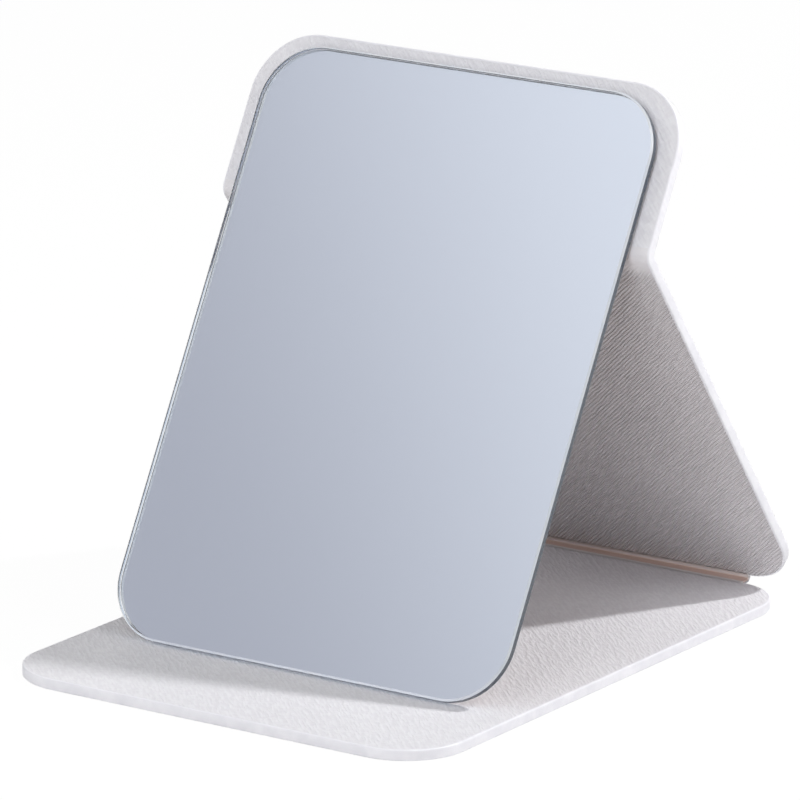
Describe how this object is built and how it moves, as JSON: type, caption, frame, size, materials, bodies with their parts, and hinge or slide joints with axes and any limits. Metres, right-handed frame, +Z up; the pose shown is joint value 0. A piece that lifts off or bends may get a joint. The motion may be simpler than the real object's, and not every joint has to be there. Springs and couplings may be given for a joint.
{
  "type": "folding vanity mirror",
  "caption": "Frameless mirror with rounded corners on a folding leather-covered stand: base, rear leaf and upper leaf fold into a triangle, and the mirror's foot rests on the base.",
  "frame": {"origin": "centre of the base leaf's underside, which lies flat on the table", "axes": "+Z up, the mirror's face looks towards -Y and upwards, the spine is at +Y, +X is to the right seen from in front"},
  "size_m": [0.15, 0.2051, 0.1687],
  "materials": {
    "embossed_lining": "matte",
    "embossed_cover": "matte",
    "edge": "satin",
    "greyboard": "matte",
    "glass": "polished",
    "silvering": "polished",
    "back_film": "matte",
    "tape": "matte"
  },
  "bodies": {
    "base_leaf": {"base_board": "greyboard", "base_cover": "embossed_cover", "base_lining": "embossed_lining", "base_rim": "edge"},
    "spine": {"spine_cover": "embossed_cover", "spine_lining": "embossed_lining"},
    "rear_leaf": {"crease_board": "greyboard", "crease_cover": "embossed_cover", "crease_lining": "embossed_lining", "crease_rim": "edge", "rear_board": "greyboard", "rear_cover": "embossed_cover", "rear_lining": "embossed_lining", "rear_rim": "edge"},
    "mirror_leaf": {"mirror_back_film": "back_film", "mirror_glass": "glass", "mirror_silvering": "silvering", "mirror_tape_lower": "tape", "mirror_tape_upper": "tape", "upper_board": "greyboard", "upper_cover": "embossed_cover", "upper_lining": "embossed_lining", "upper_rim": "edge"}
  },
  "joints": [
    {"name": "stand_fold", "type": "hinge", "parent": "base_leaf", "child": "spine", "pos_m": [0, 0.0995, 0.0048], "axis": [1, 0, 0], "range_deg": [-31.1, 9], "deforming": ["spine_cover", "spine_lining"]},
    {"name": "cover_open", "type": "hinge", "parent": "spine", "child": "rear_leaf", "pos_m": [0, 0.10278, 0.00408], "axis": [1, 0, 0], "range_deg": [-95.7, 0], "deforming": ["spine_cover", "spine_lining"]},
    {"name": "crease_fold", "type": "hinge", "parent": "rear_leaf", "child": "mirror_leaf", "pos_m": [0, 0.01913, 0.12396], "axis": [1, 0, 0], "range_deg": [-18.9, 65.31], "deforming": ["crease_board", "crease_cover", "crease_lining", "crease_rim"]}
  ],
  "couplings": [
    {"joint": "crease_fold", "follows": "stand_fold", "ratio": -2.1}
  ]
}
